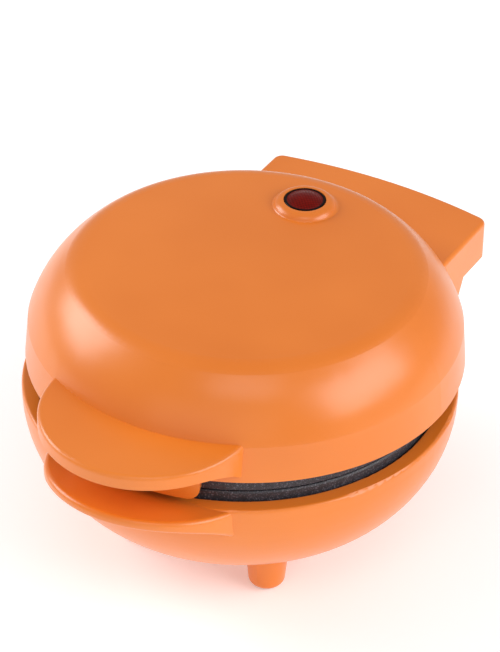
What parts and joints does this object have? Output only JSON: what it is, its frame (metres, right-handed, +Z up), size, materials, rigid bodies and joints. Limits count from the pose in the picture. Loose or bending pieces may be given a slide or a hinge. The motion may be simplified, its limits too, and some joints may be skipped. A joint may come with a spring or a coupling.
{
  "type": "mini donut maker",
  "caption": "Small round clamshell donut maker with a domed hinged cover, half-round grips, stub feet and ring-shaped baking troughs.",
  "frame": {"origin": "on the resting plane, under the middle of the closed outline", "axes": "+Z up, +Y towards the hinge, the grips face -Y, +X to the right seen from the grips"},
  "size_m": [0.1268, 0.1712, 0.0933],
  "materials": {
    "shell": "glossy",
    "baking_plate": "dark non-stick coating",
    "pads": "matt",
    "heater": "oxidised",
    "sheet_metal": "bright",
    "screws": "plated",
    "brass": "satin",
    "lens": "dark red, faceted",
    "lamp_glass": "clear",
    "gland": "matt",
    "plated_steel": "plated",
    "sleeve": "woven glass fibre",
    "moulding": "matt"
  },
  "bodies": {
    "base": {"lower_housing": "shell", "foot_pads": "pads", "lower_plate": "baking_plate", "lower_heater": "heater", "lower_heater_clamp": "sheet_metal", "lower_reflector": "sheet_metal", "lower_plate_screws": "screws", "lower_clamp_screw": "screws", "thermostat": "plated_steel", "thermal_fuse": "plated_steel", "fuse_sleeve": "sleeve", "fuse_strap": "sheet_metal", "terminal_block": "moulding", "terminal_screws": "brass", "cord_gland": "gland"},
    "lid": {"upper_housing": "shell", "indicator_lens": "lens", "lens_clip": "plated_steel", "neon_lamp": "lamp_glass", "lamp_holder": "moulding", "ballast_resistor": "moulding", "upper_plate": "baking_plate", "upper_heater": "heater", "upper_heater_clamp": "sheet_metal", "upper_reflector": "sheet_metal", "upper_plate_screws": "screws", "upper_clamp_screw": "screws", "hinge_pins": "plated_steel"}
  },
  "joints": [
    {"name": "lid_hinge", "type": "hinge", "parent": "base", "child": "lid", "pos_m": [0, 0.05785, 0.0515], "axis": [-1, 0, 0], "range_deg": [0, 100]}
  ]
}
